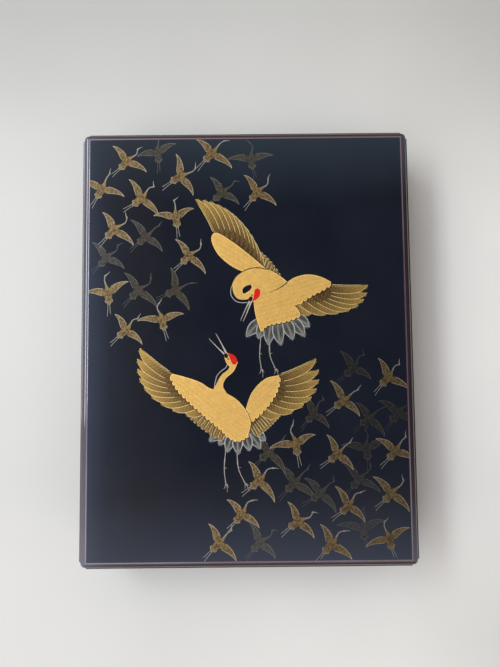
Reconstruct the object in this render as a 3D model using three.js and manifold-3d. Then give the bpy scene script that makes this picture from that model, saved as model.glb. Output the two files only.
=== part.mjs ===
// A lacquered wooden letter box: a hollow tray on a low plinth, under an overlapping hollow lid.
// Millimetres, +Z up. The origin is on the surface that the box stands on, under the middle of the box,
// and the long sides run along Y.
//
// Every outer edge of the lid is finished the same way: the faces on both sides of it stop short, as proud
// faces with softened rims, and the edge between them is a rounded bead that sits a step lower.

import * as THREE from 'three';
import { mergeVertices } from 'three/addons/utils/BufferGeometryUtils.js';
import { RoundedBoxGeometry } from 'three/addons/geometries/RoundedBoxGeometry.js';
import Module from 'manifold-3d';

// Outside of the closed box
const boxWidth = 270;
const boxLength = 353;
const boxHeight = 60;

// Edges: the bead between two faces, how far the faces stand proud of it, and their softened rims
const beadRadius = 4;
const proudStep = 1.5;
const rimSoftening = 1.2;

// Lid
const lidWall = 5;
const lidTop = 5;
const lidInsideCorner = 1;

// Tray and plinth
const plinthHeight = 9;
const trayWall = 4.5;
const trayFloor = 5;
const trayOutsideCorner = 4;
const trayInsideCorner = 5;
const trayRimRounding = 1.2;
const floorRounding = 3;

// Fits: lid round the tray, lid on the tray's rim, and the shadow line under the lid's lower edge
const lidSideFit = 0.8;
const lidRestGap = 0.3;
const shadowLine = 1;

// Smoothness of the rounded forms
const beadSegments = 4;
const softSegments = 4;
const cornerSegments = 4;

// A rounding leaves a tenth of what it rounds straight, so that no form closes up on itself.
const mostOfIt = 0.9;
const faceSoftening = Math.min(rimSoftening, mostOfIt * proudStep);

// Where the proud faces stop, measured in from the outside
const edgeInset = proudStep + beadRadius;

// Heights as the pieces rest
const lidUnderside = boxHeight - lidTop;
const lidLowerEdge = plinthHeight + shadowLine;
const trayRim = lidUnderside - lidRestGap;

// Plan sizes: the lid's hollow, the tray that stands in it, and the tray's own hollow
const lidHollow = { width: boxWidth - 2 * lidWall, length: boxLength - 2 * lidWall };
const tray = { width: lidHollow.width - 2 * lidSideFit, length: lidHollow.length - 2 * lidSideFit };
const trayHollow = { width: tray.width - 2 * trayWall, length: tray.length - 2 * trayWall };

// The lid's inside corner keeps the wall's thickness behind the bead, and the tray's corner clears it.
const lidHollowCorner = Math.max(lidInsideCorner, edgeInset - lidWall);
const trayCorner = Math.max(trayOutsideCorner, lidHollowCorner);
const trayRimSoftening = Math.min(trayRimRounding, mostOfIt * trayWall / 2, mostOfIt * trayCorner);
const floorSoftening = Math.min(floorRounding, mostOfIt * trayInsideCorner);

const wasm = await Module();
wasm.setup();

function solidOf(geometry) {
  const mergeDistance = 1e-4;
  geometry.deleteAttribute('normal');
  geometry.deleteAttribute('uv');
  const merged = mergeVertices(geometry, mergeDistance);
  return new wasm.Manifold(new wasm.Mesh({
    numProp: 3,
    vertProperties: new Float32Array(merged.attributes.position.array),
    triVerts: new Uint32Array(merged.index.array),
  }));
}

function geometryOf(solid) {
  const mesh = solid.getMesh();
  const geometry = new THREE.BufferGeometry();
  geometry.setAttribute('position', new THREE.BufferAttribute(mesh.vertProperties, 3));
  geometry.setIndex(new THREE.BufferAttribute(mesh.triVerts, 1));
  geometry.computeVertexNormals();
  return geometry;
}

function rectangle(width, length) {
  const shape = new THREE.Shape();
  shape.moveTo(-width / 2, -length / 2);
  shape.lineTo(width / 2, -length / 2);
  shape.lineTo(width / 2, length / 2);
  shape.lineTo(-width / 2, length / 2);
  return shape;
}

// Large enough to cut any piece level
const wholePlan = rectangle(boxWidth, boxLength);

function roundedRectangle(width, length, radius) {
  const x = width / 2 - radius;
  const y = length / 2 - radius;
  const quarter = Math.PI / 2;
  const shape = new THREE.Shape();
  shape.absarc(x, y, radius, 0, quarter, false);
  shape.absarc(-x, y, radius, quarter, 2 * quarter, false);
  shape.absarc(-x, -y, radius, 2 * quarter, 3 * quarter, false);
  shape.absarc(x, -y, radius, 3 * quarter, 4 * quarter, false);
  return shape;
}

// An upright block on a plan outline, with its top and bottom edges rounded inside the outline by softening
function uprightBlock(outline, low, high, softening = 0) {
  const geometry = new THREE.ExtrudeGeometry(outline, {
    depth: high - low - 2 * softening,
    bevelEnabled: softening > 0,
    bevelThickness: softening,
    bevelSize: softening,
    bevelOffset: -softening,
    bevelSegments: softSegments,
    curveSegments: cornerSegments,
  });
  return solidOf(geometry.translate(0, 0, low + softening));
}

// What is cut away to round the inside edge of a mouth at the given height. Over the last bit of height,
// as much as the rounding, the mouth's outline widens by the rounding.
function roundedMouth(outline, height, rounding) {
  const geometry = new THREE.ExtrudeGeometry(outline, {
    depth: rounding,
    bevelThickness: rounding,
    bevelSize: -rounding,
    bevelOffset: rounding,
    bevelSegments: softSegments,
    curveSegments: cornerSegments,
  });
  const bothEnds = solidOf(geometry.translate(0, 0, height - 2 * rounding));
  return bothEnds.intersect(uprightBlock(wholePlan, height - rounding, height + rounding));
}

// A proud face that lies flat: its front is at height 0, with a softened rim, and its back is sunk below.
function proudFace(width, length) {
  const depth = proudStep + 2 * faceSoftening;
  const geometry = new THREE.ExtrudeGeometry(rectangle(width, length), {
    depth: depth - 2 * faceSoftening,
    bevelThickness: faceSoftening,
    bevelSize: faceSoftening,
    bevelOffset: -faceSoftening,
    bevelSegments: softSegments,
  });
  return geometry.translate(0, 0, faceSoftening - depth);
}

// The four proud side faces, between two heights. Each stops short of the corner beads.
function sideFaces(low, high) {
  const faces = [];
  for (let turn = 0; turn < 4; turn += 1) {
    const acrossFront = turn % 2 === 0;
    const run = acrossFront ? boxWidth : boxLength;
    const out = (acrossFront ? boxLength : boxWidth) / 2;
    const face = proudFace(run - 2 * edgeInset, high - low);
    face.rotateX(Math.PI / 2);
    face.translate(0, -out, (low + high) / 2);
    face.rotateZ(turn * Math.PI / 2);
    faces.push(solidOf(face));
  }
  return faces;
}

// The lid's rounded core: its top edges and corners are the beads, a step inside the proud faces.
function beadedCore() {
  const width = boxWidth - 2 * proudStep;
  const length = boxLength - 2 * proudStep;
  const top = boxHeight - proudStep;
  const full = 2 * (top - lidLowerEdge) + 2 * beadRadius;
  const geometry = new RoundedBoxGeometry(width, length, full, beadSegments, beadRadius);
  const core = solidOf(geometry.translate(0, 0, top - full / 2));
  return core.intersect(uprightBlock(wholePlan, lidLowerEdge, boxHeight));
}

function lidSolid() {
  const topFace = proudFace(boxWidth - 2 * edgeInset, boxLength - 2 * edgeInset);
  let solid = beadedCore().add(solidOf(topFace.translate(0, 0, boxHeight)));
  for (const face of sideFaces(lidLowerEdge, boxHeight - edgeInset)) {
    solid = solid.add(face);
  }
  const hollow = roundedRectangle(lidHollow.width, lidHollow.length, lidHollowCorner);
  return solid.subtract(uprightBlock(hollow, lidLowerEdge - shadowLine, lidUnderside));
}

// The plinth has the lid's outline, corner beads and side faces, under the shadow line.
function plinthSolid() {
  const width = boxWidth - 2 * proudStep;
  const length = boxLength - 2 * proudStep;
  let solid = uprightBlock(roundedRectangle(width, length, beadRadius), 0, plinthHeight);
  for (const face of sideFaces(0, plinthHeight)) {
    solid = solid.add(face);
  }
  return solid;
}

function traySolid() {
  const outside = roundedRectangle(tray.width, tray.length, trayCorner);
  const inside = roundedRectangle(trayHollow.width, trayHollow.length, trayInsideCorner);
  const walls = uprightBlock(outside, plinthHeight / 2, trayRim, trayRimSoftening);
  const hollow = uprightBlock(inside, trayFloor, trayRim + 2 * floorSoftening, floorSoftening);
  return plinthSolid()
    .add(walls)
    .subtract(hollow)
    .subtract(roundedMouth(inside, trayRim, trayRimSoftening));
}

function lacqueredPiece(name, solid, color, roughness) {
  const material = new THREE.MeshStandardMaterial({ color, roughness, metalness: 0 });
  const mesh = new THREE.Mesh(geometryOf(solid), material);
  mesh.name = name;
  return mesh;
}

const letterBox = new THREE.Group();
letterBox.add(lacqueredPiece('box_body', traySolid(), 0x24161a, 0.2));
letterBox.add(lacqueredPiece('lid', lidSolid(), 0x0d0e13, 0.12));

export default letterBox;
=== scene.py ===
import cmath
import math
import random

import bmesh
import bpy
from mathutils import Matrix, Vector


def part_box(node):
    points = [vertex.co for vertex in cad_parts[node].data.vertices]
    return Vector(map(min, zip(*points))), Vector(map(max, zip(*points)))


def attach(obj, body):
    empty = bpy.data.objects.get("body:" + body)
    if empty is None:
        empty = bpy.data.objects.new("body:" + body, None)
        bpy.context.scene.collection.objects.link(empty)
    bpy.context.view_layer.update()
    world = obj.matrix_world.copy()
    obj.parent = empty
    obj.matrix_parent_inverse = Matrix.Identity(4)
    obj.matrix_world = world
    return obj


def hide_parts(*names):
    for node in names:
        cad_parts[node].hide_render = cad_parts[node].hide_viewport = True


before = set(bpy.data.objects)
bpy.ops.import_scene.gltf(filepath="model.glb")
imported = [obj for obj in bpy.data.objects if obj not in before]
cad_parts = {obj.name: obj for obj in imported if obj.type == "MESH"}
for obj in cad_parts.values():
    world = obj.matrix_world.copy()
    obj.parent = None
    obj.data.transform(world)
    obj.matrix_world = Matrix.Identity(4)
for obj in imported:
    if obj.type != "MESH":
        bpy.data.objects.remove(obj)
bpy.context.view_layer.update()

# A lacquer letter box with cranes in gold, silver and red on its black lid.
# Lengths below are in millimetres, and the picture's places are complex numbers: across + 1j * up,
# measured from the middle of the lid. MM turns them into Blender's metres.

MM = 0.001

# The box, from the frame
LID_LOW, LID_HIGH = (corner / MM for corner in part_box("lid"))
TRAY_LOW, TRAY_HIGH = (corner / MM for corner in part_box("box_body"))
WIDTH = LID_HIGH.x - LID_LOW.x
LENGTH = LID_HIGH.y - LID_LOW.y
TOP = LID_HIGH.z

# Edge mouldings and walls, as in the solids
BEAD_RADIUS = 4.0
PROUD_STEP = 1.5
RIM_SOFTENING = 1.2
EDGE_INSET = BEAD_RADIUS + PROUD_STEP
LID_WALL = 5.0
LID_TOP = 5.0
LID_CORNER = 1.0
PLINTH_HEIGHT = 9.0
TRAY_WALL = 4.5
TRAY_FLOOR = 5.0
TRAY_CORNER = 4.0
FLOOR_ROUNDING = 3.0
LID_SIDE_FIT = 0.8

# The lid's top face, whose rim and edge differ a little from the solid's, and the picture's panel in it
TOP_RIM = 1.6
TOP_INSET_ACROSS = EDGE_INSET + 0.4
TOP_INSET_ALONG = EDGE_INSET - 0.3
PANEL_HALF = complex(WIDTH / 2 - TOP_INSET_ACROSS - TOP_RIM, LENGTH / 2 - TOP_INSET_ALONG - TOP_RIM)

# Faces across each rounding
BEAD_SEGMENTS = 14
RIM_SEGMENTS = 6
LID_CORNER_SEGMENTS = 5
TRAY_CORNER_SEGMENTS = 10
FLOOR_SEGMENTS = 8

# The picture's plates: the height of one layer, and how far each plate is sunk in the lacquer
LAYER = 0.004
SINK = 0.02


# Materials

class Finish:
    """A node material, with short ways to add the nodes it needs."""

    def __init__(self, name, roughness, metallic=0.0):
        self.material = bpy.data.materials.new(name)
        self.material.use_nodes = True
        self.tree = self.material.node_tree
        self.shader = self.tree.nodes["Principled BSDF"]
        self.shader.inputs["Roughness"].default_value = roughness
        self.shader.inputs["Metallic"].default_value = metallic

    def node(self, kind, **values):
        made = self.tree.nodes.new(kind)
        for key, value in values.items():
            setattr(made, key, value)
        return made

    def link(self, start, end):
        self.tree.links.new(start, end)

    def place(self):
        if "place" not in self.tree.nodes:
            self.node("ShaderNodeTexCoord", name="place")
        return self.tree.nodes["place"].outputs["Object"]

    def noise(self, size, detail=3.0, roughness=0.5):
        """Noise with blotches of about the given size in millimetres."""
        made = self.node("ShaderNodeTexNoise")
        made.inputs["Scale"].default_value = 1 / (size * MM)
        made.inputs["Detail"].default_value = detail
        made.inputs["Roughness"].default_value = roughness
        self.link(self.place(), made.inputs["Vector"])
        return made.outputs["Fac"]

    def ramp(self, source, *stops):
        """Colours or values along a source from 0 to 1, as (place, colour) pairs."""
        made = self.node("ShaderNodeValToRGB")
        elements = made.color_ramp.elements
        while len(elements) < len(stops):
            elements.new(0.5)
        for element, (position, colour) in zip(elements, stops):
            element.position = position
            element.color = (*colour, 1) if hasattr(colour, "__len__") else (colour, colour, colour, 1)
        self.link(source, made.inputs["Fac"])
        return made.outputs["Color"]

    def along(self, axis, *stops):
        """Values along an axis of the piece, as (metres, value) pairs, up to a metre from its middle."""
        split = self.node("ShaderNodeSeparateXYZ")
        self.link(self.place(), split.inputs[0])
        share = self.node("ShaderNodeMapRange")
        share.inputs["From Min"].default_value = -1
        self.link(split.outputs[axis], share.inputs["Value"])
        return self.ramp(share.outputs[0], *(((place + 1) / 2, value) for place, value in stops))

    def mix(self, factor, first, second, blend="MIX"):
        made = self.node("ShaderNodeMix", data_type="RGBA", blend_type=blend)
        for socket, value in ((made.inputs[0], factor), (made.inputs[6], first), (made.inputs[7], second)):
            if isinstance(value, bpy.types.NodeSocket):
                self.link(value, socket)
            else:
                socket.default_value = value
        return made.outputs[2]

    def colour(self, source):
        self.link(source, self.shader.inputs["Base Color"])

    def rough(self, source):
        self.link(source, self.shader.inputs["Roughness"])

    def bump(self, source, height, strength=1.0):
        made = self.node("ShaderNodeBump")
        made.inputs["Strength"].default_value = strength
        made.inputs["Distance"].default_value = height * MM
        self.link(source, made.inputs["Height"])
        self.link(made.outputs["Normal"], self.shader.inputs["Normal"])


def lacquer(name, dark, light, roughness=0.04, ior=1.5):
    """Polished lacquer: a deep colour with slow changes in it, and a faintly uneven gloss."""
    finish = Finish(name, roughness)
    finish.shader.inputs["IOR"].default_value = ior
    finish.colour(finish.ramp(finish.noise(45), (0.3, dark), (0.7, light)))
    finish.rough(finish.ramp(finish.noise(18, detail=6), (0.35, roughness), (0.75, roughness + 0.04)))
    finish.bump(finish.noise(30, detail=1), height=0.02, strength=0.4)
    return finish.material


def satin_lacquer(name, dark, light):
    """The plainer lacquer inside and underneath, rubbed to a satin gloss."""
    finish = Finish(name, 0.3)
    finish.colour(finish.ramp(finish.noise(25), (0.3, dark), (0.7, light)))
    finish.rough(finish.ramp(finish.noise(6, detail=5), (0.3, 0.24), (0.7, 0.38)))
    finish.bump(finish.noise(1.5, detail=4), height=0.02, strength=0.3)
    return finish.material


def powder(name, dark, light, roughness=0.42, metallic=0.55, grain=0.35):
    """Metal powder dusted into lacquer. A piece's tone moves it from the sparse colour to the dense one,
    and its strength, a painted shade, dims the whole of it."""
    finish = Finish(name, roughness, metallic)
    tone = finish.node("ShaderNodeAttribute", attribute_name="tone").outputs["Fac"]
    body = finish.ramp(tone, (0.0, dark), (1.0, light))
    drift = finish.ramp(finish.noise(5, detail=4), (0.3, 0.93), (0.7, 1.05))
    grains = finish.ramp(finish.noise(grain, detail=2, roughness=0.7), (0.35, 0.7), (0.65, 1.2))
    # strength is painted shade: it dims the powder where the light falls off across the lid
    strength = finish.node("ShaderNodeAttribute", attribute_name="strength").outputs["Fac"]
    drifted = finish.mix(1.0, finish.mix(1.0, body, strength, "MULTIPLY"), drift, "MULTIPLY")
    finish.colour(finish.mix(0.8, drifted, grains, "MULTIPLY"))
    finish.rough(finish.ramp(finish.noise(1.2, detail=4), (0.3, roughness - 0.08), (0.7, roughness + 0.12)))
    finish.bump(finish.noise(grain, detail=2, roughness=0.7), height=0.03, strength=0.5)
    return finish.material


black = lacquer("black_lacquer", (0.0030, 0.0034, 0.0050), (0.0060, 0.0064, 0.0085))
brown = lacquer("brown_lacquer", (0.013, 0.0060, 0.0070), (0.022, 0.0095, 0.0100), roughness=0.07, ior=1.75)
red_line = lacquer("red_brown_edge", (0.074, 0.036, 0.041), (0.120, 0.060, 0.068), roughness=0.12, ior=1.75)
inside = satin_lacquer("inside_lacquer", (0.006, 0.006, 0.007), (0.013, 0.012, 0.013))
gold = powder("gold_powder", (0.44, 0.21, 0.032), (0.95, 0.56, 0.134))
brown_gold = powder("brown_gold_powder", (0.060, 0.028, 0.007), (0.51, 0.290, 0.056), metallic=0.75)
flock_gold = powder("flock_gold_powder", (0.034, 0.018, 0.005), (0.275, 0.164, 0.048), metallic=0.6)
flock_line = powder("flock_line_powder", (0.22, 0.195, 0.142), (0.35, 0.262, 0.145), metallic=0.3)
faint_gold = powder(
    "faint_gold_powder", (0.014, 0.010, 0.004), (0.060, 0.044, 0.018), roughness=0.2, metallic=0.0)
line_gold = powder("line_gold_powder", (0.36, 0.24, 0.08), (0.70, 0.50, 0.20), metallic=0.5)
faint_line = powder(
    "faint_line_powder", (0.045, 0.042, 0.032), (0.105, 0.095, 0.066), roughness=0.2, metallic=0.0)
silver = powder("silver_powder", (0.016, 0.013, 0.009), (0.175, 0.153, 0.114), metallic=0.2)
silver_line = powder("silver_line_powder", (0.22, 0.21, 0.17), (0.40, 0.385, 0.32), metallic=0.25)
horn = powder("horn_powder", (0.20, 0.17, 0.12), (0.44, 0.38, 0.27), metallic=0.2)
gap = lacquer("gap_lacquer", (0.004, 0.004, 0.005), (0.008, 0.007, 0.008), roughness=0.12)


def red_lacquer():
    """Bright lacquer with small changes of colour in it."""
    dark, light = (0.43, 0.003, 0.000), (0.60, 0.011, 0.001)
    finish = Finish("red_lacquer", 0.25)
    finish.colour(finish.ramp(finish.noise(1.2, detail=4), (0.3, dark), (0.7, light)))
    finish.bump(finish.noise(0.6), height=0.02, strength=0.4)
    return finish.material


red = red_lacquer()


# The box

def block(name, low, high, material, rounding=0.0, segments=1, rounded=None):
    """A block between two corners, with those of its edges rounded that the test picks by their middle."""
    mesh = bpy.data.meshes.new(name)
    made = bmesh.new()
    bmesh.ops.create_cube(made, size=1.0)
    low, high = Vector(low), Vector(high)
    for vertex in made.verts:
        for axis in range(3):
            vertex.co[axis] = (low[axis] + high[axis]) / 2 + vertex.co[axis] * (high[axis] - low[axis])
    if rounding > 0:
        middle = (low + high) / 2
        edges = [e for e in made.edges if rounded((e.verts[0].co + e.verts[1].co) / 2 - middle)]
        bmesh.ops.bevel(made, geom=edges, offset=rounding, segments=segments, profile=0.5, affect="EDGES")
    bmesh.ops.recalc_face_normals(made, faces=made.faces)
    for vertex in made.verts:
        vertex.co *= MM
    made.to_mesh(mesh)
    made.free()
    mesh.materials.append(material)
    piece = bpy.data.objects.new(name, mesh)
    bpy.context.scene.collection.objects.link(piece)
    return piece


def upright(place):
    """True for the middle of an edge that stands upright."""
    return abs(place.z) < 1e-6


def upright_or_top(place):
    return upright(place) or place.z > 0


def upright_or_bottom(place):
    return upright(place) or place.z < 0


def soften_rims(piece, faces_out, material, rim):
    """Round the edges round the face that looks along faces_out, and give the rounding its own material."""
    mesh = piece.data
    made = bmesh.new()
    made.from_mesh(mesh)
    front = max(made.faces, key=lambda face: face.calc_center_median().dot(faces_out))
    result = bmesh.ops.bevel(
        made, geom=list(front.edges), offset=rim * MM, segments=RIM_SEGMENTS, profile=0.5, affect="EDGES")
    mesh.materials.append(material)
    for face in result["faces"]:
        face.material_index = 1
    made.to_mesh(mesh)
    made.free()
    return piece


def proud_face(name, low, high, faces_out, face_material, rim_material, rim=RIM_SOFTENING):
    """A block whose front stands proud, with a softened rim."""
    return soften_rims(block(name, low, high, face_material), faces_out, rim_material, rim)


def side_faces(name, low, high, material):
    """The four proud side faces between two heights, each short of the corner beads."""
    made = []
    for across, along in ((1, 0), (0, 1)):
        half = (WIDTH / 2, LENGTH / 2)
        for side in (-1, 1):
            corner_low, corner_high = [0, 0, low], [0, 0, high]
            corner_low[along] = -(half[along] - EDGE_INSET)
            corner_high[along] = half[along] - EDGE_INSET
            ends = sorted((side * half[across], side * (half[across] - 2 * PROUD_STEP)))
            corner_low[across], corner_high[across] = ends
            out = Vector((0, 0, 0))
            out[across] = side
            made.append(proud_face(name, corner_low, corner_high, out, material, material))
    return made


def combine(piece, operation, others):
    """Join other pieces to this one, or cut them out of it, and remove them."""
    for other in others:
        step = piece.modifiers.new("step", "BOOLEAN")
        step.operation = operation
        step.solver = "EXACT"
        step.material_mode = "TRANSFER"
        step.object = other
    settle(piece)
    for other in others:
        bpy.data.objects.remove(other)


def settle(piece):
    """Apply a piece's modifiers to its mesh."""
    graph = bpy.context.evaluated_depsgraph_get()
    mesh = bpy.data.meshes.new_from_object(piece.evaluated_get(graph))
    piece.modifiers.clear()
    piece.data = mesh


def shade(piece, sharp_above=50):
    """Smooth the rounded forms and keep the flat ones flat."""
    piece.data.shade_smooth()
    piece.data.set_sharp_from_angle(angle=math.radians(sharp_above))
    weighted = piece.modifiers.new("weighted", "WEIGHTED_NORMAL")
    weighted.keep_sharp = True
    settle(piece)


def make_lid():
    step = PROUD_STEP
    low, high = LID_LOW, LID_HIGH
    core = block(
        "lid_lacquered", (low.x + step, low.y + step, low.z), (high.x - step, high.y - step, high.z - step),
        brown, BEAD_RADIUS, BEAD_SEGMENTS, upright_or_top)
    across, along = TOP_INSET_ACROSS, TOP_INSET_ALONG
    top = proud_face(
        "top", (low.x + across, low.y + along, high.z - 2 * step), (high.x - across, high.y - along, high.z),
        Vector((0, 0, 1)), black, red_line, TOP_RIM)
    combine(core, "UNION", [top, *side_faces("side", low.z, high.z - EDGE_INSET, brown)])
    wall = LID_WALL
    hollow = block(
        "hollow", (low.x + wall, low.y + wall, low.z - wall),
        (high.x - wall, high.y - wall, high.z - LID_TOP),
        inside, LID_CORNER, LID_CORNER_SEGMENTS, upright_or_top)
    combine(core, "DIFFERENCE", [hollow])
    shade(core)
    return core


def make_tray():
    step, low, high = PROUD_STEP, TRAY_LOW, TRAY_HIGH
    plinth = block(
        "tray_lacquered", (low.x + step, low.y + step, low.z), (high.x - step, high.y - step, PLINTH_HEIGHT),
        brown, BEAD_RADIUS, BEAD_SEGMENTS, upright)
    inset = LID_WALL + LID_SIDE_FIT
    walls = block(
        "walls", (low.x + inset, low.y + inset, PLINTH_HEIGHT / 2), (high.x - inset, high.y - inset, high.z),
        inside, TRAY_CORNER, TRAY_CORNER_SEGMENTS, upright)
    combine(plinth, "UNION", [*side_faces("side", low.z, PLINTH_HEIGHT, brown), walls])
    inset += TRAY_WALL
    hollow = block(
        "hollow", (low.x + inset, low.y + inset, TRAY_FLOOR),
        (high.x - inset, high.y - inset, high.z + FLOOR_ROUNDING),
        inside, FLOOR_ROUNDING, FLOOR_SEGMENTS, upright_or_bottom)
    combine(plinth, "DIFFERENCE", [hollow])
    shade(plinth)
    return plinth


lid = make_lid()
tray = make_tray()
for piece, node, slot in ((lid, "lid", "black_lacquer"), (tray, "box_body", "brown_lacquer")):
    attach(piece, "root")
    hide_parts(node)


# Drawing: curves as lists of complex numbers

def turned(degrees):
    return cmath.exp(1j * math.radians(degrees))


def between(start, end, share):
    return start + (end - start) * share


def bezier(start, pull, end, count):
    """Points along a curve from start to end that leans towards pull."""
    shares = [i / (count - 1) for i in range(count)]
    return [(1 - t) ** 2 * start + 2 * t * (1 - t) * pull + t * t * end for t in shares]


def bowed(start, end, bow, count=10):
    """A curve whose middle stands off to the left by a share of its length."""
    return bezier(start, (start + end) / 2 + 2j * bow * (end - start), end, count)


def spline(points, count=8, closed=False):
    """A smooth curve through the points, with count steps from each to the next."""
    last = len(points)
    curve = []
    for i in range(last if closed else last - 1):
        if closed:
            a, b, c, d = (points[(i + k) % last] for k in (-1, 0, 1, 2))
        else:
            b, c = points[i], points[i + 1]
            a = points[i - 1] if i > 0 else b - (c - b)
            d = points[i + 2] if i + 2 < last else c + (c - b)
        for k in range(count):
            t = k / count
            curve.append(0.5 * (2 * b + (c - a) * t + (2 * a - 5 * b + 4 * c - d) * t ** 2
                                + (3 * b - a - 3 * c + d) * t ** 3))
    if not closed:
        curve.append(points[-1])
    return curve


def normals(curve, closed=False):
    """The direction to the left of the curve at each of its points."""
    last = len(curve) - 1
    found = []
    for i, point in enumerate(curve):
        after = curve[(i + 1) % len(curve)] if closed or i < last else point
        before = curve[i - 1] if closed or i > 0 else point
        step = after - before
        found.append(1j * step / abs(step) if abs(step) > 1e-9 else 1j)
    return found


def measured(curve):
    """The share of the curve's length at each of its points, and its whole length."""
    total, marks = 0.0, [0.0]
    for before, after in zip(curve, curve[1:]):
        total += abs(after - before)
        marks.append(total)
    return [mark / total for mark in marks], total


def place_along(curve, share):
    """The place at a share of the curve's length, and the direction to the left there."""
    marks, _ = measured(curve)
    i = max(k for k in range(len(curve) - 1) if marks[k] <= share + 1e-9)
    step = curve[i + 1] - curve[i]
    part = (share - marks[i]) / (marks[i + 1] - marks[i])
    return curve[i] + step * part, 1j * step / abs(step)


def offset(curve, distances):
    """The curve moved to its left by a distance at each of its points."""
    return [p + n * d for p, n, d in zip(curve, normals(curve), distances)]


def stepped(stops, share):
    """A value at a share from 0 to 1, from (share, value) pairs."""
    for (low, first), (high, second) in zip(stops, stops[1:]):
        if share <= high + 1e-9:
            return first + (second - first) * (share - low) / (high - low)
    return stops[-1][1]


def widths_along(curve, *stops):
    return [stepped(stops, mark) for mark in measured(curve)[0]]


def feathered(points, pitch, depth, out):
    """An edge of overlapping feather ends, standing out to the left (out 1) or right (out -1) of a curve."""
    curve = spline(points, 10)
    count = max(1, round(measured(curve)[1] / pitch))
    edge = []
    for k in range(count):
        start, _ = place_along(curve, k / count)
        end, _ = place_along(curve, (k + 1) / count)
        step = end - start
        reach = 1j * out * step / abs(step) * depth
        edge += [start, start + 0.30 * step + 0.70 * reach, start + 0.62 * step + 1.00 * reach,
                 start + 0.88 * step + 0.92 * reach, start + 0.96 * step + 0.50 * reach]
    return edge + [curve[-1]]


def holds(outline, place):
    """True where a place lies inside an outline."""
    inside_now = False
    for a, b in zip(outline, outline[1:] + outline[:1]):
        if (a.imag > place.imag) != (b.imag > place.imag):
            if place.real < a.real + (place.imag - a.imag) * (b.real - a.real) / (b.imag - a.imag):
                inside_now = not inside_now
    return inside_now


def clipped(outline):
    """What of an outline lies on the lid's panel."""
    for turn in (1, 1j, -1, -1j):
        limit = PANEL_HALF.real if turn in (1, -1) else PANEL_HALF.imag
        kept = []
        for i, point in enumerate(outline):
            before = outline[i - 1]
            here, there = (point * turn).real, (before * turn).real
            if (here <= limit) != (there <= limit):
                kept.append(between(before, point, (limit - there) / (here - there)))
            if here <= limit:
                kept.append(point)
        outline = kept
    return outline


def on_panel(place):
    return abs(place.real) < PANEL_HALF.real and abs(place.imag) < PANEL_HALF.imag


class Film:
    """Thin closed plates of one colour of powder or lacquer, gathered into one mesh."""

    def __init__(self, name, material, slot):
        self.name, self.material, self.slot = name, material, slot
        self.places, self.faces, self.tones, self.painted_shade_strengths = [], [], [], []
        # strength: painted shade that dims the plates added next
        self.strength = 1.0

    def add(self, points, height, tones):
        first = len(self.places)
        self.places += [(p.real * MM, p.imag * MM, (TOP + height) * MM) for p in points]
        self.tones += tones
        self.painted_shade_strengths += [self.strength] * len(points)
        return first

    def plate(self, outline, layer, tone=0.5, tone_at=None):
        """A flat plate with this outline. Its tone may change from place to place."""
        outline = clipped(outline)
        if len(outline) < 3:
            return
        area = sum((a.conjugate() * b).imag for a, b in zip(outline, outline[1:] + outline[:1]))
        if area < 0:
            outline = outline[::-1]
        tones = [tone_at(p) if tone_at else tone for p in outline]
        low = self.add(outline, -SINK, tones)
        high = self.add(outline, layer * LAYER, tones)
        count = len(outline)
        self.faces.append([high + i for i in range(count)])
        self.faces.append([low + i for i in reversed(range(count))])
        for i in range(count):
            after = (i + 1) % count
            self.faces.append([low + i, low + after, high + after, high + i])

    def ribbon(self, curve, widths, layer, tone=0.5, closed=False):
        """A stroke of changing width along a curve. An open one stops at the panel's edge."""
        if not hasattr(widths, "__len__"):
            widths = [widths] * len(curve)
        if not closed:
            kept = [(p, w) for p, w in zip(curve, widths) if on_panel(p)]
            curve, widths = [p for p, _ in kept], [w for _, w in kept]
        count = len(curve)
        if count < 2:
            return
        sides = normals(curve, closed)
        left = [p + n * w / 2 for p, n, w in zip(curve, sides, widths)]
        right = [p - n * w / 2 for p, n, w in zip(curve, sides, widths)]
        tones = [tone] * count
        rows = [self.add(points, height, tones) for points, height in (
            (left, -SINK), (right, -SINK), (right, layer * LAYER), (left, layer * LAYER))]
        for i in range(count if closed else count - 1):
            after = (i + 1) % count
            for k in range(4):
                a, b = rows[k], rows[(k + 1) % 4]
                self.faces.append([a + i, b + i, b + after, a + after])
        if not closed:
            self.faces.append([row for row in reversed(rows)])
            self.faces.append([row + count - 1 for row in rows])

    def finish(self):
        """Make the gathered plates one piece on the box."""
        mesh = bpy.data.meshes.new(self.name)
        mesh.from_pydata(self.places, [], self.faces)
        mesh.attributes.new("tone", "FLOAT", "POINT").data.foreach_set("value", self.tones)
        mesh.attributes.new("strength", "FLOAT", "POINT").data.foreach_set("value", self.painted_shade_strengths)
        mesh.materials.append(self.material)
        mesh.validate()
        piece = bpy.data.objects.new(self.name, mesh)
        bpy.context.scene.collection.objects.link(piece)
        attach(piece, "root")
        return piece


class Films:
    """All the colours of the picture."""
    faint = Film("faint_flock", faint_gold, "faint_gold_powder")
    faint_lines = Film("faint_flock_lines", faint_line, "faint_gold_powder")
    flock = Film("gold_flock", flock_gold, "brown_gold_powder")
    flock_lines = Film("gold_flock_lines", flock_line, "brown_gold_powder")
    feathers = Film("pair_flight_feathers", brown_gold, "brown_gold_powder")
    gold = Film("pair_gold", gold, "gold_powder")
    silver = Film("pair_silver", silver, "silver_powder")
    lines = Film("pair_gold_lines", line_gold, "gold_powder")
    horn = Film("pair_bills_and_legs", horn, "silver_powder")
    silver_lines = Film("pair_silver_lines", silver_line, "silver_powder")
    gaps = Film("pair_gaps", gap, "black_lacquer")
    red = Film("pair_red", red, "red_lacquer")

    @classmethod
    def all(cls):
        return [value for value in vars(cls).values() if isinstance(value, Film)]


# Feathers. A profile gives a feather's reach from its middle line, as (share of its length, reach) pairs.

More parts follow.
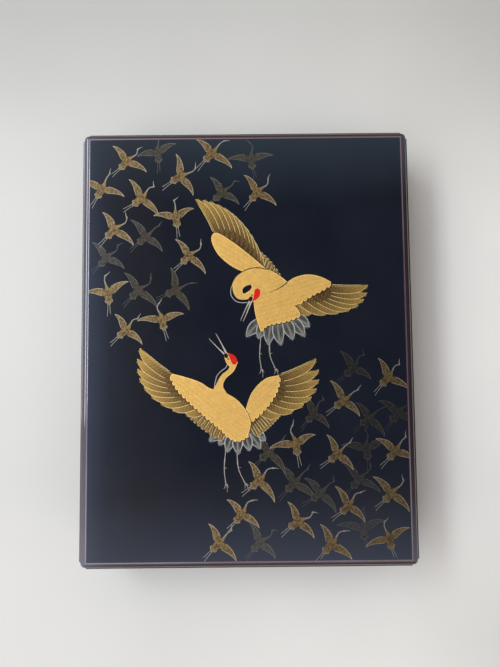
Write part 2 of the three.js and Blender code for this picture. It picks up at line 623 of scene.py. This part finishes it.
FLIGHT = ((0, 0.55), (0.25, 0.92), (0.50, 1.0), (0.70, 0.95), (0.82, 0.78), (0.91, 0.51), (0.965, 0.24),
          (1, 0))
ROUND = ((0, 0.60), (0.35, 0.95), (0.70, 1.0), (0.86, 0.86), (0.94, 0.62), (0.985, 0.32), (1, 0.0))
LEAF = ((0, 0.35), (0.22, 0.78), (0.48, 1.0), (0.66, 0.88), (0.80, 0.60), (0.91, 0.26), (1, 0.0))


def blade(line, profile, left, right):
    """The outline of a feather along its middle line, with its widest reach to the left and to the right."""
    first, second = [], []
    for share, reach in profile:
        place, out = place_along(line, share)
        first.append(place + out * left * reach)
        second.append(place - out * right * reach)
    return spline(first, 4) + spline(second[::-1], 4)[1:]


def draw_feather(film, lines, line, profile, left, right, layer, tones, rim=0.42, rim_tone=0.75, pitch=1.3):
    """A feather with a light rim, a shaft and fine barbs. tones are its tones at the root and at the tip."""
    outline = blade(line, profile, left, right)
    root, reach = line[0], abs(line[-1] - line[0])

    def tone_at(place):
        share = max(0.0, min(1.0, abs(place - root) / reach))
        return tones[0] + (tones[1] - tones[0]) * share ** 1.6

    film.plate(outline, layer, tone_at=tone_at)
    count = int(measured(line)[1] / pitch)
    for k in range(2, count):
        share = k / count
        place, out = place_along(line, share)
        further, _ = place_along(line, min(0.98, share + 3.0 / (count * pitch)))
        for side, width in ((1, left), (-1, right)):
            if width < 0.8:
                continue
            end = further + side * out * width * stepped(profile, share) * 0.84
            light = 0.44 if k % 2 else 0.1
            film.ribbon([place + side * out * 0.15, end], 0.34, layer + 1, min(1.0, tone_at(place) + light))
    lines.ribbon(line[1:], 0.25, layer + 1, rim_tone * 0.6)
    lines.ribbon(outline[4:-4], rim, layer + 1, rim_tone)


# Small cranes. In its own place a small crane flies to the right, and its left wing is up the page.

WING_FRONT = (0 + 2.1j, 0.18 + 3.1j, 0.42 + 3.3j, 0.66 + 2.3j, 0.86 + 0.7j, 1 - 1.3j)
WING_REAR = (1 - 1.3j, 0.84 - 0.7j, 0.62 - 0.8j, 0.38 - 1.6j, 0.16 - 2.2j, 0 - 1.8j)

# Grains of powder: how many on a body, in a spiral, and the lines and rows of them on a wing
BODY_GRAINS = 22
GOLDEN_ANGLE = 137.5
WING_GRAIN_LINES = 14
WING_GRAIN_ROWS = 3


class SmallCrane:
    """A small crane in flight. heading turns it, in degrees, mirrored swaps its wings, and rng varies it."""

    def __init__(self, film, lines, layer, centre, heading, mirrored, rng):
        self.film, self.lines, self.layer = film, lines, layer
        self.centre, self.turn, self.mirrored = centre, turned(heading), mirrored
        self.size = rng.uniform(0.96, 1.06)
        self.near = rng.uniform(64, 96), rng.uniform(15.5, 18.5)
        self.far = rng.uniform(-92, -72), rng.uniform(16.5, 20.0)
        self.neck_bow = rng.choice((-2.4, -1.2, 0.8, 2.2))
        self.bill_turn = rng.choice((-48, -26, 18, 42, 60))
        self.leg_swing = rng.uniform(-9, 9)
        self.rng = rng

    def put(self, points):
        if self.mirrored:
            points = [p.conjugate() for p in points]
        return [self.centre + self.turn * p * self.size for p in points]

    def fill(self, points, step, tone=0.5):
        self.film.plate(self.put(points), self.layer + step, tone)

    def stroke(self, points, widths, tone, step):
        self.lines.ribbon(self.put(points), widths, self.layer + step, tone)

    def draw(self):
        self.legs()
        self.tail()
        self.wing(1, *self.near)
        self.wing(-1, *self.far)
        self.fill(spline([5.6 + 0.2j, 3.0 + 1.9j, -0.6 + 2.8j, -3.8 + 2.5j, -5.4 + 0j,
                          -3.8 - 2.5j, -0.6 - 2.8j, 3.0 - 1.7j], closed=True), 3)
        for k in range(BODY_GRAINS):
            place = math.sqrt((k + 0.5) / BODY_GRAINS) * turned(GOLDEN_ANGLE * k)
            place = complex(4.2 * place.real - 0.8, 2.1 * place.imag)
            self.film.ribbon(self.put([place - 0.6, place + 0.6]), 0.6, self.layer + 4, self.speckle())
        self.neck()

    def speckle(self):
        return self.rng.choice((0.0, 0.1, 0.9, 1.0))

    def wing(self, side, angle, reach):
        """A pointed wing with a full front edge. side is 1 for the left wing and -1 for the right one."""
        root = 0.6 + side * 0.8j
        out = turned(angle)

        def shaped(marks):
            return spline([root + out * complex(m.real * reach, -side * m.imag) for m in marks], 6)

        front, rear = shaped(WING_FRONT), shaped(WING_REAR)
        self.fill(front + rear[1:], 1)
        self.stroke(front[7:], 0.44, 0.9, 4)
        self.stroke(rear[:-7], 0.40, 0.7, 4)
        for i in range(WING_GRAIN_LINES):
            share = 0.06 + 0.062 * i
            start, end = place_along(front, share)[0], place_along(rear, 1 - share)[0]
            for row in range(WING_GRAIN_ROWS):
                near = 0.12 + 0.28 * row + self.rng.uniform(-0.05, 0.05)
                dash = [between(start, end, near), between(start, end, near + 0.20)]
                self.film.ribbon(self.put(dash), 0.66, self.layer + 2, self.speckle())

    def tail(self):
        for angle, reach in ((-42, 3.7), (42, 3.7), (0, 4.4)):
            root = -3.7 + 0j
            line = [root, root - reach * turned(angle)]
            lobe = blade(line, ROUND, 1.3, 1.3)
            self.fill(lobe, 2, 0.5)
            self.stroke(lobe[3:-3], 0.32, 1.0, 3)

    def neck(self):
        bow = self.neck_bow
        curve = spline([3.6 + 0j, 7.8 + bow * 0.7j, 11.2 + bow * 1.0j, 14.8 + bow * 0.2j], 8)
        widths = widths_along(curve, (0, 3.6), (0.16, 2.3), (0.36, 1.2), (0.6, 0.85), (0.88, 0.8), (1, 1.25))
        self.film.ribbon(self.put(curve[:11]), widths[:11], self.layer + 5, 0.75)
        self.lines.ribbon(self.put(curve[7:]), widths[7:], self.layer + 6, 0.1)
        head = curve[-1]
        tip = head + 4.8 * turned(self.bill_turn)
        bill = bowed(head - 0.3, tip, 0.05, 6)
        self.stroke(bill, widths_along(bill, (0, 1.4), (0.3, 0.75), (1, 0.2)), 0.2, 7)

    def legs(self):
        swing = turned(self.leg_swing)
        for side in (-1, 1):
            hip = -5.4 + side * 0.8j
            foot = hip - (11.2 - side * 0.7) * swing * turned(-side * 2.5)
            leg = bowed(hip, foot, side * 0.02, 6)
            self.stroke(leg, widths_along(leg, (0, 0.5), (0.82, 0.45), (0.92, 0.95), (1, 0.4)), 0.05, 1)


# The pair of large cranes

class Wing:
    """A spread wing. side is 1 where its front edge is to the left of its feathers, and -1 where it is to
    the right. fan holds the directions of the foremost, rearmost and innermost feather, in degrees."""

    def __init__(self, side, wrist, tip, bulge, rear, sag, inner, fan,
                 primaries=9, secondaries=9, vanes=(1.3, 4.4), shortest=25.0):
        self.side, self.wrist, self.tip, self.bulge, self.rear = side, wrist, tip, bulge, rear
        self.sag, self.inner, self.fan = sag, inner, fan
        self.primaries, self.secondaries = primaries, secondaries
        self.vanes, self.shortest = vanes, shortest

    def draw(self, layer):
        """The flight feathers, each under the one in front of it."""
        feathers = self.short_feathers() + self.long_feathers()
        for line, profile, front, back, tones in feathers:
            left, right = (front, back) if self.side > 0 else (back, front)
            rim_tone = 0.95 if profile is ROUND else 0.9
            draw_feather(Films.feathers, Films.lines, line, profile, left, right, layer, tones,
                         rim_tone=rim_tone)
            layer += 2
        return layer

    def long_feathers(self):
        """The primaries, from the rearmost to the foremost."""
        first = abs(self.tip - self.wrist) + 6
        found = []
        tips = bezier(self.tip, self.bulge, self.rear, self.primaries)
        for i, tip in reversed(list(enumerate(tips))):
            share = i / (self.primaries - 1)
            direction = between(self.fan[0], self.fan[1], share ** 0.85)
            length = between(first, self.shortest, share)
            line = bowed(tip - length * turned(direction), tip, -0.045 * self.side)
            found.append((line, FLIGHT, *self.vanes, (0.0, 0.78)))
        return found

    def short_feathers(self):
        """The secondaries, from the one next to the body to the one next to the primaries."""
        found = []
        tips = bezier(self.rear, self.sag, self.inner, self.secondaries + 1)[1:]
        for i, tip in reversed(list(enumerate(tips))):
            share = (i + 1) / self.secondaries
            direction = between(self.fan[1], self.fan[2], share ** 0.6)
            length = between(17.0, 13.0, share)
            line = bowed(tip - length * turned(direction), tip, 0.03 * self.side)
            found.append((line, ROUND, 2.2, 2.2, (0.0, 0.26)))
        return found


def draw_gold(outline, layer):
    """Small gold feathers as one dense area, with a dark gap round it and a thin light edge."""
    Films.gaps.ribbon(outline, 1.5, layer, closed=True)
    Films.gold.plate(outline, layer + 2, 0.55)
    Films.gold.ribbon(outline, 0.5, layer + 3, 0.95, closed=True)


def draw_plumage(outline, direction, layer, pitch=4.2):
    """Rows of faint feather ends on a gold area, pointing in a direction in degrees."""
    ahead = turned(direction)
    inward = [p / ahead for p in outline]
    low = complex(min(p.real for p in inward), min(p.imag for p in inward))
    high = complex(max(p.real for p in inward), max(p.imag for p in inward))
    rows = int((high.real - low.real) / (pitch * 0.8))
    columns = int((high.imag - low.imag) / pitch) + 1
    across = (-1, -0.6, -0.2, 0.2, 0.6, 1)
    for row in range(rows):
        for column in range(columns):
            place = low + pitch * complex(0.8 * row, column + 0.5 * (row % 2))
            arc = [place + complex(0.45 - 1.5 * abs(t) ** 2.2, 1.9 * t) for t in across]
            arc = [p * ahead for p in arc]
            if all(holds(outline, p) for p in arc):
                Films.gold.ribbon(arc, 0.3, layer, 0.22)


def draw_tail(root, direction, spread, reach, count, width, layer):
    """Leaf-shaped silver feathers, fanned about a direction in degrees. The outer ones lie lowest."""
    for i in sorted(range(count), key=lambda k: -abs(k - (count - 1) / 2)):
        place = i / (count - 1) - 0.5
        start = root + 1j * turned(direction) * place * reach * 0.9
        length = reach * (1 - 0.30 * abs(place)) * (1 + 0.09 * math.cos(2.6 * i))
        tip = start + length * turned(direction + spread * place)
        line = bowed(start, tip, 0.05 * (1 if place > 0 else -1))
        draw_feather(Films.silver, Films.silver_lines, line, LEAF, width / 2, width / 2, layer, (0.30, 0.78),
                     rim=0.6, rim_tone=1.0)
        for part in (-0.66, -0.38, 0.38, 0.66):
            streak = offset(line, [part * width / 2 * stepped(LEAF, mark) for mark in measured(line)[0]])
            Films.silver.ribbon(streak[3:8], [0.2, 0.6, 0.8, 0.6, 0.2], layer + 1, 0.0)
        layer += 2
    return layer


def draw_neck(points, stops, layer, front, free=0.3):
    """A neck from the body to the head. Its front, on the left (1) or right (-1), has a dark throat with a
    silver edge. It leaves the body at the share of its length called free, and has no edges before that."""
    curve = spline(points, 10)
    widths = widths_along(curve, *stops)
    Films.gaps.ribbon(curve, [w + 1.4 for w in widths], layer)
    Films.gold.ribbon(curve, widths, layer + 3, 0.55)
    start = round(len(curve) * free)
    for side in (-1, 1):
        edge = offset(curve, [side * w / 2 for w in widths])[start:]
        Films.gold.ribbon(edge, widths_along(edge, (0, 0.1), (0.2, 0.5), (1, 0.5)), layer + 4, 0.95)
    throat = curve[start:]
    bulge = widths_along(throat, (0, 0.0), (0.25, 1.7), (0.75, 1.5), (1, 0.5))
    reach = [front * (w / 2 + b) for w, b in zip(widths[start:], bulge)]
    middle = [front * (w / 2 + (b - 0.9) / 2) for w, b in zip(widths[start:], bulge)]
    Films.gaps.ribbon(offset(throat, middle), [b + 0.9 for b in bulge], layer + 5)
    Films.silver_lines.ribbon(offset(throat, reach), 0.5, layer + 6, 0.85)
    return layer + 7


def draw_head(centre, heading, crown_side, open_bill, layer, under, size=1.15):
    """A head with a red crown, a small eye and a long bill. crown_side is 1 where the crown is to the left.
    The dark gap round it lies on the layer called under, so that the head runs into the neck."""
    ahead = turned(heading) * size

    def put(points):
        return [centre + ahead * complex(p.real, p.imag * crown_side) for p in points]

    skull = spline(put([5.4 + 0.5j, 3.0 + 2.9j, -0.6 + 4.1j, -4.2 + 3.0j, -5.2 - 0.2j, -3.6 - 2.9j,
                        -0.4 - 3.3j, 3.0 - 2.3j, 5.4 - 1.0j]), 6, True)
    Films.gaps.ribbon(skull, 1.2, under, closed=True)
    for half, width in ((1, 1.8), (-1, 1.5)):
        base = 4.2 + half * 0.5j
        tip = base + 16.5 * turned(half * open_bill / 2)
        bill = put(bowed(base, tip, half * 0.012))
        Films.gaps.ribbon(bill, widths_along(bill, (0, width + 1.0), (1, 0.9)), layer)
        widths = widths_along(bill, (0, width), (0.35, width * 0.55), (1, 0.3))
        Films.horn.ribbon(bill, widths, layer + 2, 0.8)
    Films.gold.plate(skull, layer + 3, 0.55)
    crown = spline(put([4.3 + 1.5j, 2.6 + 3.3j, -0.6 + 4.4j, -4.0 + 3.5j, -5.1 + 1.2j, -3.4 - 0.3j,
                        -0.8 + 0.2j, 2.0 + 0.9j]), 6, True)
    Films.red.plate(crown, layer + 4)
    lores = spline(put([5.6 + 0.2j, 3.6 + 0.9j, 1.9 - 0.4j, 3.2 - 1.9j, 5.2 - 1.2j]), 5, True)
    Films.gaps.plate(lores, layer + 4)
    eye = put([1.0 - 0.7j + 0.55 * turned(24 * k) for k in range(15)])
    Films.gaps.plate(eye, layer + 5)
    return layer + 6


def draw_leg(hip, knee, foot, layer):
    """A thin leg with a thick knee and trailing toes."""
    leg = spline([hip, knee, foot], 10)
    widths = widths_along(leg, (0, 0.75), (0.40, 0.55), (0.48, 1.0), (0.56, 0.6), (0.95, 0.55), (1, 1.0))
    Films.horn.ribbon(leg, widths, layer, 0.5)
    ahead = (foot - knee) / abs(foot - knee)
    for angle, reach in ((-22, 5.0), (4, 7.6), (26, 4.2)):
        tip = foot + ahead * turned(angle) * reach
        toe = bowed(foot, tip, 0.08, 6)
        Films.horn.ribbon(toe, widths_along(toe, (0, 0.6), (1, 0.22)), layer + 1, 0.5)
    spur = knee + ahead * turned(58) * 2.2
    Films.horn.ribbon([knee, spur], [0.5, 0.2], layer + 1, 0.5)


def draw_rising_crane(layer):
    """The lower crane, rising with both wings lifted and its bill open."""
    draw_leg(-17 - 76j, -19 - 97j, -18 - 109j, layer)
    draw_leg(-9 - 78j, -8 - 97j, -3 - 109j, layer)
    layer = draw_tail(-7 - 68j, -92, 116, 19, 7, 8.0, layer + 2)
    left = Wing(-1, -60 - 24j, -86 - 2j, -97 - 38j, -50 - 54j, -40 - 66j, -22 - 76j, (142, 203, 252),
                vanes=(1.3, 6.0))
    right = Wing(1, 24 - 26j, 55 - 12j, 66 - 44j, 26 - 57j, 17 - 67j, 8 - 73j, (22, -27, -62), 8,
                 vanes=(1.3, 5.8))
    high = max(left.draw(layer), right.draw(layer))
    front = spline([-1 - 50j, 4 - 38j, 14 - 28j, 25 - 25j], 8)
    rear = feathered([25 - 26j, 22 - 38j, 12 - 52j, -1 - 63j], 4.2, 1.9, 1)
    draw_gold(front + rear, high)
    draw_plumage(front + rear, -50, high + 3)
    high += 4
    back = spline([-24 - 36j, -30 - 35j, -38 - 30j, -49 - 26j, -60 - 23j], 8)
    trailing = feathered([-61 - 24j, -55 - 35j, -44 - 46j, -32 - 57j, -19 - 68j, -15 - 73j], 4.2, 2.0, -1)
    rump = feathered([-15 - 73j, -8 - 76j, 0 - 72j], 3.2, 1.4, -1)
    breast = spline([0 - 72j, 2 - 62j, -2 - 52j, -9 - 44j, -17 - 39j], 8)
    body = back + trailing + rump + breast
    draw_gold(body, high)
    draw_plumage(body, -130, high + 3)
    neck = [-19 - 46j, -23 - 35j, -20 - 26j, -13.5 - 20j, -11 - 13j]
    under = high + 1
    high = draw_neck(neck, ((0, 12.0), (0.22, 9.5), (0.45, 5.4), (0.75, 4.6), (1, 6.6)), under, front=1)
    return draw_head(-14 - 12j, 126, -1, 17, high, under)


def draw_descending_crane(layer):
    """The upper crane, coming down with its wings spread and its neck bent towards the other."""
    draw_leg(12 + 14j, 10 - 7j, 11 - 19j, layer)
    draw_leg(19 + 12j, 18 - 7j, 22 - 19j, layer)
    layer = draw_tail(25 + 22j, -84, 104, 23, 7, 9.0, layer + 2)
    left = Wing(1, -26 + 88j, -41 + 119j, -11 + 117j, 5 + 79j, 17 + 74j, 27 + 57j, (117, 103, 52), 11, 9,
                vanes=(1.1, 5.0))
    right = Wing(1, 66 + 49j, 98 + 47j, 99 + 23j, 52 + 24j, 46 + 23j, 40 + 27j, (-2, -40, -66), 8, 4,
                 vanes=(1.3, 5.6), shortest=33.0)
    high = max(left.draw(layer), right.draw(layer))
    arm = spline([0 + 58j, -12 + 64j, -23 + 74j, -28 + 86j, -24 + 91j, -12 + 84j, 2 + 73j, 17 + 60j], 8)
    draw_gold(arm, high)
    draw_plumage(arm, 60, high + 3)
    high += 4
    back = spline([7 + 60j, 18 + 60j, 27 + 55j, 33 + 50j], 8)
    front = spline([33 + 50j, 40 + 54j, 50 + 56j, 60 + 54j, 68 + 50j], 8)[1:]
    trailing = feathered([68 + 49j, 62 + 45j, 52 + 40j, 43 + 34j, 38 + 31j], 4.4, 1.9, 1)[:-6]
    side = spline([38 + 31j, 41 + 28j, 43 + 24j], 4)
    hem = feathered([43 + 24j, 34 + 20j, 24 + 18j, 15 + 16j, 11 + 11j], 3.8, 1.8, 1)
    breast = spline([11 + 11j, 8 + 20j, 6 + 32j, 5 + 44j, 2 + 54j], 8)
    body = back + front + trailing + side + hem + breast
    draw_gold(body, high)
    draw_plumage(body, -75, high + 3)
    Films.gaps.ribbon(bowed(33 + 50j, 18 + 42j, 0.06), [0.9 - 0.08 * k for k in range(10)], high + 4)
    neck = [20 + 50j, 8 + 55j, -2.5 + 52.5j, -7.6 + 46j, -6.2 + 39.6j, -0.8 + 38.2j, 4 + 41j]
    under = high + 1
    high = draw_neck(neck, ((0, 17.0), (0.3, 13.2), (0.5, 11.0), (0.68, 8.6), (0.86, 5.6), (1, 5.6)), under,
                     front=-1, free=0.5)
    return draw_head(5.5 + 40.5j, -114, 1, 3, high, under)


# The two flocks, as (across, up, heading, mirrored, faint). Painted shade dims the powder to the right, as
# (across, strength) pairs, and dims the faint cranes sooner.

PAINTED_SHADE_STRENGTHS = ((-140, 1.0), (-10, 1.0), (45, 0.78), (80, 0.60), (140, 0.52))
FAINT_PAINTED_SHADE_POWER = 2.0

# Neighbours lie on different sets of layers. The bright cranes lie over the faint ones, the pair over both.
CRANE_LAYERS = 6
LAYER_SETS = 3
PAIR_LAYER = 38

UPPER_FLOCK = [
    (-72, 158, 98, True, True), (5, 152, 96, True, True), (-20, 124, 44, False, True),
    (-82, 88, 40, False, True), (-114, 71, 50, False, True), (-88, 44, 46, False, True),
    (-58, 44, 24, False, True),
    (-98, 151, 50, False, False), (-118, 128, 62, False, False), (-54, 138, 30, False, False),
    (-28, 157, 46, False, False), (-86, 120, 40, False, False), (9, 124, 52, False, False),
    (-108, 94, 46, False, False), (-57, 104, 98, True, False), (-47, 72, 46, False, False),
    (-112, 42, 98, True, False), (-98, 12, 42, False, False), (-68, 20, 100, True, False),
]
LOWER_FLOCK = [
    (84, -20, 46, False, True), (52, -56, 50, False, True), (96, -60, 36, False, True),
    (119, -56, 52, False, True), (94, -84, 96, True, True), (16, -86, 40, False, True),
    (36, -110, 44, False, True), (56, -118, 38, False, True), (87, -108, 48, False, True),
    (90, -146, 94, True, True), (8, -156, 46, False, True),
    (112, -28, 46, False, False), (76, -46, 36, False, False), (38, -80, 98, True, False),
    (70, -88, 40, False, False), (116, -86, 50, False, False), (8, -108, 40, False, False),
    (-6, -134, 50, False, False), (38, -140, 34, False, False), (78, -128, 44, False, False),
    (112, -119, 46, False, False), (-24, -156, 44, False, False), (64, -158, 44, False, False),
    (110, -154, 104, True, False),
]


def draw_flock(places, seed):
    rng = random.Random(seed)
    for i, (across, up, heading, mirrored, faint) in enumerate(places):
        film, lines = (Films.faint, Films.faint_lines) if faint else (Films.flock, Films.flock_lines)
        layer = 1 + CRANE_LAYERS * (i % LAYER_SETS + (0 if faint else LAYER_SETS))
        # Painted shade: the powder dims towards the right
        film.strength = lines.strength = stepped(PAINTED_SHADE_STRENGTHS, across) ** (FAINT_PAINTED_SHADE_POWER if faint else 1.0)
        SmallCrane(film, lines, layer, complex(across, up), heading, mirrored, rng).draw()


def draw_picture():
    draw_flock(UPPER_FLOCK, seed=4)
    draw_flock(LOWER_FLOCK, seed=9)
    draw_descending_crane(PAIR_LAYER)
    draw_rising_crane(PAIR_LAYER)
    for film in Films.all():
        film.finish()


draw_picture()


# Stage: floor, light and camera

FLOOR_DARK = (0.636, 0.582, 0.484)
FLOOR_LIGHT = (0.656, 0.602, 0.500)
FLOOR_HALF = 3.0

WINDOW_PLACE = (-1.35, 0.60, 1.80)
WINDOW_ACROSS, WINDOW_ALONG = 0.46, 1.7
WINDOW_POWER = 25.5
WINDOW_COLOUR = (0.84, 1.0, 1.14)

CAMERA_PLACE = (0.0018, -0.0206, 0.4931)
CAMERA_DEGREES = (3.89, -0.04, -0.58)


def make_floor():
    """A pale floor whose tone changes slowly at random, with painted shade that darkens it towards +Y and at
    its sides, and painted light to the right of the box.
    """
    mesh = bpy.data.meshes.new("floor")
    half = FLOOR_HALF
    corners = [(-half, -half, 0), (half, -half, 0), (half, half, 0), (-half, half, 0)]
    mesh.from_pydata(corners, [], [(0, 1, 2, 3)])
    finish = Finish("floor_paint", 0.6)
    paint = finish.ramp(finish.noise(120), (0.3, FLOOR_DARK), (0.7, FLOOR_LIGHT))
    # Painted shade and light, as (metres, share) pairs along Y and X: darker towards +Y and at the sides,
    # lighter right of the box
    painted_shade_along_y = finish.along("Y", (-0.30, 1.02), (-0.20, 1.0), (-0.12, 0.94), (0.0, 0.97), (0.13, 0.94),
                          (0.20, 0.88), (0.25, 0.77), (0.32, 0.66))
    near_painted_shade = finish.along("X", (-0.21, 0.92), (-0.10, 0.90), (0.02, 0.97), (0.13, 0.98), (0.23, 0.86))
    middle_painted_light_and_shade = finish.along("X", (-0.20, 0.92), (-0.15, 0.89), (0.15, 0.91), (0.185, 1.07), (0.22, 1.09))
    far_painted_shade = finish.along("X", (-0.21, 0.91), (-0.13, 0.94), (0.0, 1.02), (0.12, 1.03), (0.23, 0.93))
    side = finish.mix(finish.along("Y", (-0.26, 0), (-0.08, 1)), near_painted_shade, middle_painted_light_and_shade)
    side = finish.mix(finish.along("Y", (0.10, 0), (0.20, 1)), side, far_painted_shade)
    paint = finish.mix(1.0, paint, painted_shade_along_y, "MULTIPLY")
    finish.colour(finish.mix(1.0, paint, side, "MULTIPLY"))
    mesh.materials.append(finish.material)
    floor = bpy.data.objects.new("floor", mesh)
    bpy.context.scene.collection.objects.link(floor)


def make_soft_light(name, place, across, along, power, colour):
    """A long soft light that faces the middle of the floor, with its long side along Y."""
    data = bpy.data.lights.new(name, "AREA")
    data.shape = "RECTANGLE"
    data.size = across
    data.size_y = along
    data.energy = power
    data.color = colour
    light = bpy.data.objects.new(name, data)
    light.location = place
    light.rotation_euler = (0, -math.atan2(-place[0], place[2]), 0)
    bpy.context.scene.collection.objects.link(light)
    return light


def make_room_light():
    """A quiet room: dim overhead and on the right, brighter on the left and above and below the picture."""
    world = bpy.data.worlds.new("room")
    bpy.context.scene.world = world
    world.use_nodes = True
    tree = world.node_tree

    def node(kind, **values):
        made = tree.nodes.new(kind)
        for key, value in values.items():
            setattr(made, key, value)
        return made

    split = node("ShaderNodeSeparateXYZ")
    tree.links.new(node("ShaderNodeTexCoord").outputs["Generated"], split.inputs[0])

    def glow(axis, *stops):
        """Light by one part of the direction, from -1 to 1, as (part, colour) pairs."""
        share = node("ShaderNodeMapRange")
        share.inputs["From Min"].default_value = -1
        tree.links.new(split.outputs[axis], share.inputs["Value"])
        ramp = node("ShaderNodeValToRGB")
        elements = ramp.color_ramp.elements
        while len(elements) < len(stops):
            elements.new(0.5)
        for element, (part, colour) in zip(elements, stops):
            element.position = (part + 1) / 2
            element.color = (*colour, 1)
        tree.links.new(share.outputs[0], ramp.inputs[0])
        return ramp.outputs[0]

    none = (0, 0, 0)
    parts = [
        # From the left
        glow("X", (-0.90, (1.25, 1.28, 1.35)), (-0.36, (1.20, 1.38, 1.90)), (-0.285, (0.95, 1.13, 1.68)),
             (-0.252, (0.37, 0.40, 0.50)), (-0.20, (0.19, 0.15, 0.13)), (-0.14, (0.08, 0.07, 0.07)),
             (-0.06, none)),
        # From below the picture, and from above it
        glow("Y", (-0.80, (0.25, 0.23, 0.20)), (-0.50, (1.30, 1.25, 1.30)), (-0.36, (1.15, 1.25, 1.75)),
             (-0.29, (0.56, 0.63, 0.82)), (-0.22, (0.18, 0.15, 0.15)), (-0.15, none)),
        glow("Y", (0.30, none), (0.40, (0.38, 0.57, 0.74)), (0.55, (1.00, 0.93, 0.86)),
             (0.80, (0.25, 0.23, 0.20))),
        # From overhead
        glow("Z", (0.0, (0.03, 0.02, 0.02)), (0.35, (0.09, 0.07, 0.06)), (0.60, (0.20, 0.17, 0.14)),
             (0.80, (0.15, 0.14, 0.13)), (0.87, (0.135, 0.145, 0.175)), (0.95, (0.13, 0.165, 0.27))),
    ]
    total = parts[0]
    for part in parts[1:]:
        plus = node("ShaderNodeVectorMath", operation="ADD")
        tree.links.new(total, plus.inputs[0])
        tree.links.new(part, plus.inputs[1])
        total = plus.outputs[0]
    tree.links.new(total, tree.nodes["Background"].inputs["Color"])


def make_camera():
    """A camera with the photo's view, its focal length in pixels."""
    photo_width, photo_height, focal_pixels = 500, 667, 540
    data = bpy.data.cameras.new("camera")
    data.sensor_width = 36
    data.lens = data.sensor_width * focal_pixels / max(photo_width, photo_height)
    camera = bpy.data.objects.new("camera", data)
    camera.location = CAMERA_PLACE
    camera.rotation_euler = [math.radians(angle) for angle in CAMERA_DEGREES]
    bpy.context.scene.collection.objects.link(camera)
    bpy.context.scene.camera = camera


make_floor()
make_soft_light("window", WINDOW_PLACE, WINDOW_ACROSS, WINDOW_ALONG, WINDOW_POWER, WINDOW_COLOUR)
make_room_light()
make_camera()
bpy.context.scene.view_settings.view_transform = "Standard"
